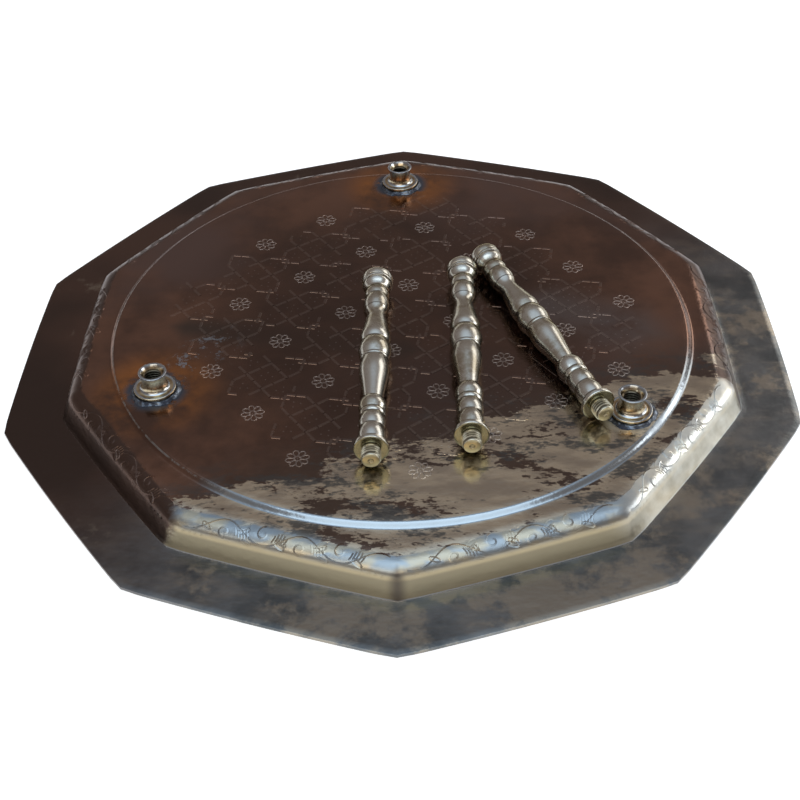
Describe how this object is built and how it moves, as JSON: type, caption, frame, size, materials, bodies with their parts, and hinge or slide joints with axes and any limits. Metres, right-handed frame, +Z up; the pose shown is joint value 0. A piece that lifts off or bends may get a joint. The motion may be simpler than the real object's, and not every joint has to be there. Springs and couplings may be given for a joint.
{
  "type": "footed serving tray",
  "caption": "Ten-sided metal serving tray lying face down, with threaded leg sockets soldered to its underside and turned screw-in legs laid loose on it.",
  "frame": {"origin": "middle of the tray, on the surface that its rim lies on", "axes": "+Z up, away from the serving face, which lies down; Y runs through two opposite corners of the ten-sided rim; -Y is the side that the legs' studs point to"},
  "size_m": [0.4208, 0.44, 0.0394],
  "materials": {
    "tarnished_sheet": "old brass sheet, heat-tinted brown, with tan and slate tarnish and a worn polish",
    "socket_brass": "turned brass, worn bright at the lip, stained brown by solder flux below",
    "solder": "dull lumpy soft solder",
    "plated_leg": "turned brass with a worn satin silver plate",
    "stud_brass": "cut thread in pale brass with grey in its roots"
  },
  "bodies": {
    "tray": {"tray_sheet": "tarnished_sheet", "leg_socket_far": "socket_brass", "leg_socket_left": "socket_brass", "leg_socket_right": "socket_brass", "solder_ring_far": "solder", "solder_ring_left": "solder", "solder_ring_right": "solder"},
    "left_leg": {"leg_left": "plated_leg", "leg_stud_left": "stud_brass"},
    "middle_leg": {"leg_middle": "plated_leg", "leg_stud_middle": "stud_brass"},
    "right_leg": {"leg_right": "plated_leg", "leg_stud_right": "stud_brass"}
  },
  "joints": [
    {"name": "left_leg_lift", "type": "slide", "parent": "tray", "child": "left_leg", "axis": [0, 0, 1], "range_m": [0, 0.08]},
    {"name": "middle_leg_lift", "type": "slide", "parent": "tray", "child": "middle_leg", "axis": [0, 0, 1], "range_m": [0, 0.08]},
    {"name": "right_leg_lift", "type": "slide", "parent": "tray", "child": "right_leg", "axis": [0, 0, 1], "range_m": [0, 0.08]}
  ]
}
